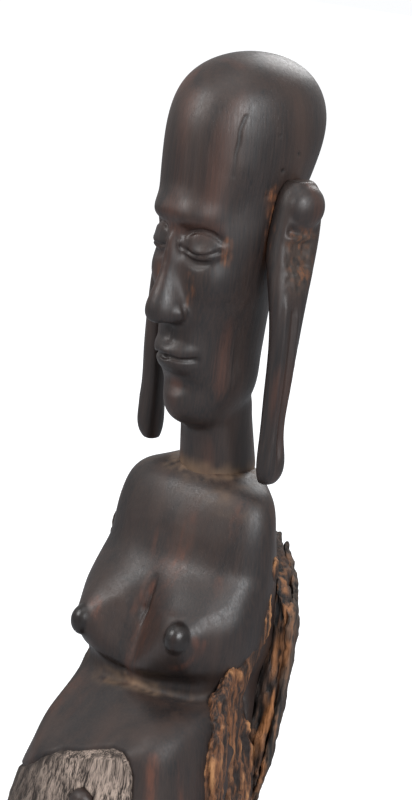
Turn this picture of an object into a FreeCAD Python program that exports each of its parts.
import FreeCAD, Part
import math
import os
from collections import namedtuple
from FreeCAD import Vector

# A carved blackwood bust, cut from one short log that leans back a little as it rises.
# The polished heartwood makes the head, the hanging ear loops, the neck, the torso and the lap
# block. The log's own outer layers stay on as found: a weathered sapwood face in front, a torn
# sapwood strip on the figure's left flank, and a thick sapwood slab with bark plates behind.
# All sizes are in millimetres. +Z is up, the figure faces -Y and its left side is at +X.
# The origin is the middle of the sawn foot.

# Driving sizes
total_height = 420.0
foot_half_width = 57.0
foot_half_depth = 51.0
lap_top = 136.0             # where the lap meets the torso, under the breasts
shoulder_top = 232.0        # where the neck leaves the shoulders
chin_height = 253.0
head_turn = -8.0            # degrees: the face looks a little to the figure's right
head_pivot = Vector(0, 44, 0)
ear_spacing = 36.0          # from the head's middle plane to the middle of each ear loop
lobe_end = 234.0            # the lobes hang down to just above the shoulders
slab_top = 208.0            # highest point of the sapwood slab behind the torso
sapwood_face_depth = 7.0    # thickness of the weathered layer on the lap block's front
bark_depth = 3.5
layer_gap = 0.2             # air left between the bark plates and the slab's own torn edges

# One level of a lofted body: a rounded ring at a height, from its front to its back.
Ring = namedtuple("Ring", "z middle_x half_width front back")

ring_points = 16            # points in each closed ring
ring_power = 2.3            # 2 is an ellipse, and more is squarer


def ring_wire(ring, power=ring_power, corner_power=None):
    """A closed smooth curve round one level, as a rounded rectangle.

    The corner at the front of the figure's left side may be squarer than the rest.
    """
    middle_y = (ring.front + ring.back) / 2
    half_depth = (ring.back - ring.front) / 2
    points = []
    for step in range(ring_points):
        turn = 2 * math.pi * step / ring_points
        in_corner = math.cos(turn) > 0 > math.sin(turn)
        squareness = corner_power if corner_power and in_corner else power
        across = math.copysign(abs(math.cos(turn)) ** (2 / squareness), math.cos(turn))
        along = math.copysign(abs(math.sin(turn)) ** (2 / squareness), math.sin(turn))
        points.append(Vector(
            ring.middle_x + ring.half_width * across,
            middle_y + half_depth * along,
            ring.z,
        ))
    curve = Part.BSplineCurve()
    curve.interpolate(points, PeriodicFlag=True)
    return Part.Wire(curve.toShape())


def loft(rings, top_point=None, bottom_point=None, power=ring_power, corner_power=None):
    """A solid through the rings, closed flat or to a point at either end."""
    profiles = [ring_wire(ring, power, corner_power) for ring in rings]
    if bottom_point:
        profiles.insert(0, Part.Vertex(bottom_point))
    if top_point:
        profiles.append(Part.Vertex(top_point))
    return Part.makeLoft(profiles, True, False)


def ellipsoid(centre, half_x, half_y, half_z):
    """A ball stretched along the three axes."""
    ball = Part.makeSphere(1.0)
    stretch = FreeCAD.Matrix()
    stretch.scale(half_x, half_y, half_z)
    stretched = ball.transformGeometry(stretch)
    stretched.translate(centre)
    return stretched


def spun(profile, start, end):
    """A solid of revolution about the line from start to end, from (along, radius) pairs.

    The profile starts at a flat end, and finishes on the line itself.
    """
    points = [Vector(radius, 0, along) for along, radius in profile]
    curve = Part.BSplineCurve()
    curve.interpolate(points)
    flat_end_middle = Vector(0, 0, points[0].z)
    outline = Part.Wire([
        curve.toShape(),
        Part.makeLine(points[-1], flat_end_middle),
        Part.makeLine(flat_end_middle, points[0]),
    ])
    solid = Part.Face(outline).revolve(Vector(0, 0, 0), Vector(0, 0, 1), 360)
    turn = FreeCAD.Rotation(Vector(0, 0, 1), end.sub(start))
    solid.Placement = FreeCAD.Placement(start, turn)
    return solid


def turned(shape):
    """The shape as it sits on the turned head."""
    copy = shape.copy()
    copy.rotate(head_pivot, Vector(0, 0, 1), head_turn)
    return copy


def mirrored(shape):
    """The same shape on the figure's other side."""
    return shape.mirror(Vector(0, 0, 0), Vector(1, 0, 0))


def side_prism(outline, near_y, far_y):
    """A prism along Y, from an outline of (x, z) corners."""
    corners = [Vector(x, near_y, z) for x, z in outline]
    face = Part.Face(Part.makePolygon(corners + corners[:1]))
    return face.extrude(Vector(0, far_y - near_y, 0))


# The head, a long oval that is widest over the temples

def make_skull():
    rings = [
        Ring(chin_height, 0, 9, 27, 47),
        Ring(chin_height + 5, 0, 14, 21, 54),
        Ring(chin_height + 14, 0, 17, 18, 58),
        Ring(chin_height + 31, 0, 20, 13, 61),
        Ring(chin_height + 58, 0, 23, 9, 62),
        Ring(chin_height + 82, 0, 25.5, 6, 66),
        Ring(chin_height + 103, 0, 27, 5, 73),
        Ring(chin_height + 122, 0, 28.5, 5, 81),
        Ring(chin_height + 139, 0, 28.5, 6.5, 84.5),
        Ring(chin_height + 152, 0, 25.5, 12, 80),
        Ring(chin_height + 161, 0, 18, 22, 71),
        Ring(chin_height + 165.5, 0, 9, 33, 60),
    ]
    return loft(rings, top_point=Vector(0, 46, total_height), power=2.15)


def make_nose():
    return loft([
        Ring(chin_height + 50, 0, 7.5, -3, 18),
        Ring(chin_height + 56, 0, 8.5, -5, 18),
        Ring(chin_height + 66, 0, 6, -2, 18),
        Ring(chin_height + 78, 0, 4.5, 1.5, 18),
        Ring(chin_height + 90, 0, 4.5, 3, 18),
    ], power=2.0)


def make_lips():
    return ellipsoid(Vector(0, 16.5, chin_height + 35), 11, 7, 5)


def make_eyelid():
    return ellipsoid(Vector(12, 13.5, chin_height + 83), 7, 7, 4.5)


def make_head():
    eyelid = make_eyelid()
    head = make_skull()
    for feature in (make_nose(), make_lips(), eyelid, mirrored(eyelid)):
        head = head.fuse(feature)
    return head


# An ear loop: the ear's shell at the top, drawn out into a long flat lobe

def make_ear():
    shell_middle = ear_spacing - 5
    lobe_middle = ear_spacing + 2
    return loft([
        Ring(lobe_end, lobe_middle - 1, 3.0, 38.5, 45.5),
        Ring(lobe_end + 3, lobe_middle, 4.2, 36.5, 47.5),
        Ring(255, lobe_middle, 4.6, 35.5, 47),
        Ring(275, lobe_middle, 4.5, 35, 47.5),
        Ring(296, lobe_middle, 4.6, 34.5, 49.5),
        Ring(318, ear_spacing, 5.5, 33.5, 54),
        Ring(338, shell_middle + 1, 7.5, 34.5, 60),
        Ring(355, shell_middle, 8, 37, 61),
        Ring(364, shell_middle, 7, 39, 59),
        Ring(369, shell_middle, 4.5, 43, 55),
    ], power=2.6)


# The neck leans forward a little from the shoulders to the jaw

def make_neck():
    return loft([
        Ring(shoulder_top - 8, 0, 19, 34, 64),
        Ring(shoulder_top, 0, 18, 34.5, 64),
        Ring(shoulder_top + 8, 0, 16.5, 33, 63),
        Ring(shoulder_top + 24, 0, 16, 31, 61),
        Ring(shoulder_top + 34, 0, 15, 31, 60),
    ], power=2.1)


# The torso, from the crease under the breasts to the shoulders

torso_foot = Ring(lap_top, 0, 41, 0, 64)
left_breast_root = Vector(18.5, 36, 166)
left_breast_tip = Vector(26, -9, 165)
right_breast_root = Vector(-18.5, 36, 163)      # the figure's right side hangs a little lower
right_breast_tip = Vector(-27, -9, 158)
breast_profile = [          # (distance along, radius) from the root to the nipple's tip
    (0, 25), (8, 26), (16, 25.5), (24, 22), (30, 17), (35, 11.5), (38, 8), (41.5, 6.8),
    (44.5, 4.4), (45.8, 0),
]


def make_torso():
    chest = loft([
        torso_foot,
        Ring(148, 0, 43.5, 3, 65),
        Ring(165, 0, 44.5, 7, 65),
        Ring(180, 0, 44, 11, 63),
        Ring(193, 0, 43.5, 15.5, 61),
        Ring(205, 0, 42.5, 18, 58),
        Ring(214, 0, 41, 20.5, 57),
        Ring(222, 0, 38, 23.5, 57),
        Ring(228, 0, 31, 28, 60),
        Ring(shoulder_top, 0, 21, 33, 64),
    ])
    left_breast = spun(breast_profile, left_breast_root, left_breast_tip)
    right_breast = spun(breast_profile, right_breast_root, right_breast_tip)
    return chest.fuse(left_breast).fuse(right_breast)


# The lap block, the log's heartwood, from the sawn foot to the lap

lap_rings = [
    Ring(0, 0, foot_half_width - 3, -foot_half_depth, 40),
    Ring(28, 0, 54.5, -50, 40),
    Ring(55, 0, 52.5, -46, 43),
    Ring(85, 0.5, 49, -39.5, 49),
    Ring(100, 2, 46, -37, 53),
    Ring(113, 3.5, 43.5, -35, 57),
    Ring(124, 4.5, 41, -32, 60),
    Ring(131, 3, 40.5, -22, 62),
    torso_foot,
]
lap_power = 2.6
lap_corner_power = 4.5      # the log was split square at the front of its left side
lap_plane_point = Vector(0, -2, lap_top + 0.5)
lap_plane_normal = Vector(-0.27, -0.61, 0.74)   # the lap falls forward, and to its right


def make_lap_log():
    """The log below the lap, with its front corner cut off along the lap's slope."""
    chip = Part.makeBox(300, 300, 100, Vector(-150, -150, 0))
    chip.Placement = FreeCAD.Placement(
        lap_plane_point, FreeCAD.Rotation(Vector(0, 0, 1), lap_plane_normal)
    )
    return loft(lap_rings, power=lap_power, corner_power=lap_corner_power).cut(chip)


def make_lap_core():
    """The lap block under its weathered face: the same log with its front set back."""
    rings = [ring._replace(front=ring.front + sapwood_face_depth) for ring in lap_rings]
    return loft(rings, power=lap_power, corner_power=lap_corner_power)


face_outline = [            # (x, z) of the arched weathered face, seen from the front
    (-70, -5), (31, -5), (32, 60), (31.5, 102), (30, 111.5), (27, 117), (23, 119), (16, 118),
    (7, 114.5), (-3, 110), (-12, 107), (-22, 100), (-32, 91), (-46, 82), (-58, 70), (-70, 56),
]
face_back_y = 2.0           # the weathered layer ends at this plane on the log's sides
knot_centre = Vector(8, -39, 92)
knot_radius = 6.0


def make_knot():
    """A dark branch knot that stands out of the weathered face."""
    stem = Part.makeCylinder(knot_radius, 12, knot_centre, Vector(0, 1, 0))
    return stem.fuse(ellipsoid(knot_centre, knot_radius, 4.5, knot_radius))


def make_sapwood_face(lap_log, lap_core):
    arch = side_prism(face_outline, -70, face_back_y)
    return lap_log.cut(lap_core).common(arch)


# The torn sapwood strip on the figure's left flank, beside the groove before the slab

def make_flank_strip():
    return loft([
        Ring(0, 48.5, 8.5, 4, 38),
        Ring(40, 47.5, 7.5, 7, 39),
        Ring(80, 44, 6.5, 10.5, 41),
        Ring(108, 41.5, 5.5, 13, 39),
        Ring(128, 40.5, 4.8, 13.5, 31),
        Ring(145, 41, 4.2, 19, 33),
        Ring(160, 42, 3.6, 29, 39),
        Ring(175, 42, 3.0, 36.5, 43.5),
        Ring(197, 41, 2.0, 42.5, 47),
    ], power=2.4)


# The slab of sapwood that stands behind the torso, and the bark plates on its back

slab_rings = [              # its outer surface, under the bark
    Ring(0, 0, 54, -45, foot_half_depth - bark_depth),
    Ring(28, 0, 54, -42, 48),
    Ring(55, 0, 53, -35, 51),
    Ring(76, -1, 52, -20, 57),
    Ring(97, -2, 51.5, -5, 68),
    Ring(120, -2.5, 51, 5, 74),
    Ring(145, -2.5, 51, 10, 77),
    Ring(175, -3, 50, 15, 76),
    Ring(205, -4, 47, 20, 73),
    Ring(slab_top + 8, -4, 46, 22, 72),
]
slab_lip = 9.0              # thickness of its two upright lips
slab_hollow_back = 13.0     # thickness behind the groove
hollow_bottom = 60.0        # the groove between slab and torso starts above this height
slab_front = [              # (y, z) corners of the lips' front edges, seen from the side
    (33, -10), (33, 50), (40, 78), (44, 110), (50, 150), (47, 185), (49, 240),
]


def grown(rings, by):
    """The same rings, all pushed outwards by a distance."""
    return [
        ring._replace(
            half_width=ring.half_width + by, front=ring.front - by, back=ring.back + by
        )
        for ring in rings
    ]


slab_crest = [              # (x, z) corners of its torn top edge, from right to left
    (-80, 186), (-52, 193), (-47, 205), (-41, 202), (-33, slab_top), (-21, 202), (-8, 207),
    (4, 203), (13, 205), (22, 198), (28, 200), (34, 191), (40, 185), (46, 176), (60, 160),
]


def behind_torso(shape):
    """The part of a shape that is behind the torso and below the torn crest."""
    crest = side_prism([(-80, -10)] + slab_crest + [(60, -10)], 0, 110)
    corners = [Vector(-90, y, z) for y, z in slab_front + [(120, 240), (120, -10)]]
    depth = Part.Face(Part.makePolygon(corners + corners[:1])).extrude(Vector(180, 0, 0))
    return shape.common(crest).common(depth)


def make_slab(solids_in_front):
    outer = loft(slab_rings)
    hollow = loft([
        ring._replace(
            half_width=ring.half_width - slab_lip,
            front=ring.front + slab_lip,
            back=ring.back - slab_hollow_back,
        )
        for ring in slab_rings if ring.z > hollow_bottom
    ])
    slab = behind_torso(outer).cut(hollow)
    for solid in solids_in_front:
        slab = slab.cut(solid)
    return slab


bark_checks = [             # (x, z) paths of the open checks that part the bark plates
    [(-30, -2), (-27, 60), (-33, 120), (-28, 215)],
    [(3, -2), (6, 45), (0, 110), (5, 215)],
    [(29, -2), (26, 70), (31, 130), (27, 215)],
]
check_half_width = 1.6


def make_bark():
    outer = loft(grown(slab_rings, bark_depth))
    under = loft(grown(slab_rings, layer_gap))
    bark = behind_torso(outer.cut(under))
    for path in bark_checks:
        left_side = [(x - check_half_width, z) for x, z in path]
        right_side = [(x + check_half_width, z) for x, z in reversed(path)]
        bark = bark.cut(side_prism(left_side + right_side, 30, 120))
    return bark


def largest_solid(shape):
    """A shape's main solid, without the crumbs that a cut can leave."""
    return max(shape.Solids, key=lambda solid: solid.Volume)


def main():
    lap_log = make_lap_log()
    lap_core = make_lap_core()
    strip = make_flank_strip()
    knot = make_knot()
    torso = make_torso().cut(strip)
    head = turned(make_head())
    neck = make_neck().cut(torso).cut(head)
    ear = make_ear()
    left_ear = turned(ear).cut(head)
    right_ear = turned(mirrored(ear)).cut(head)
    sapwood_face = make_sapwood_face(lap_log, lap_core).cut(strip)
    lap_block = lap_log.cut(sapwood_face).cut(strip).cut(knot)
    sapwood_face = sapwood_face.cut(knot)
    slab = make_slab([lap_log, make_torso(), strip])

    nodes = {
        "head": largest_solid(head),
        "left_ear_loop": largest_solid(left_ear),
        "right_ear_loop": largest_solid(right_ear),
        "neck": largest_solid(neck),
        "torso": largest_solid(torso),
        "lap_block": largest_solid(lap_block),
        "front_sapwood_face": largest_solid(sapwood_face),
        "front_knot": knot,
        "left_sapwood_strip": strip,
        "rear_sapwood_slab": largest_solid(slab),
        "rear_bark_plates": make_bark(),
    }
    os.makedirs("parts", exist_ok=True)
    for name, shape in nodes.items():
        shape.exportStep(os.path.join("parts", name + ".step"))
        print(f"{name}: {len(shape.Solids)} solid(s), {shape.Volume / 1000:.1f} cm3, "
              f"valid {shape.isValid()}")


main()
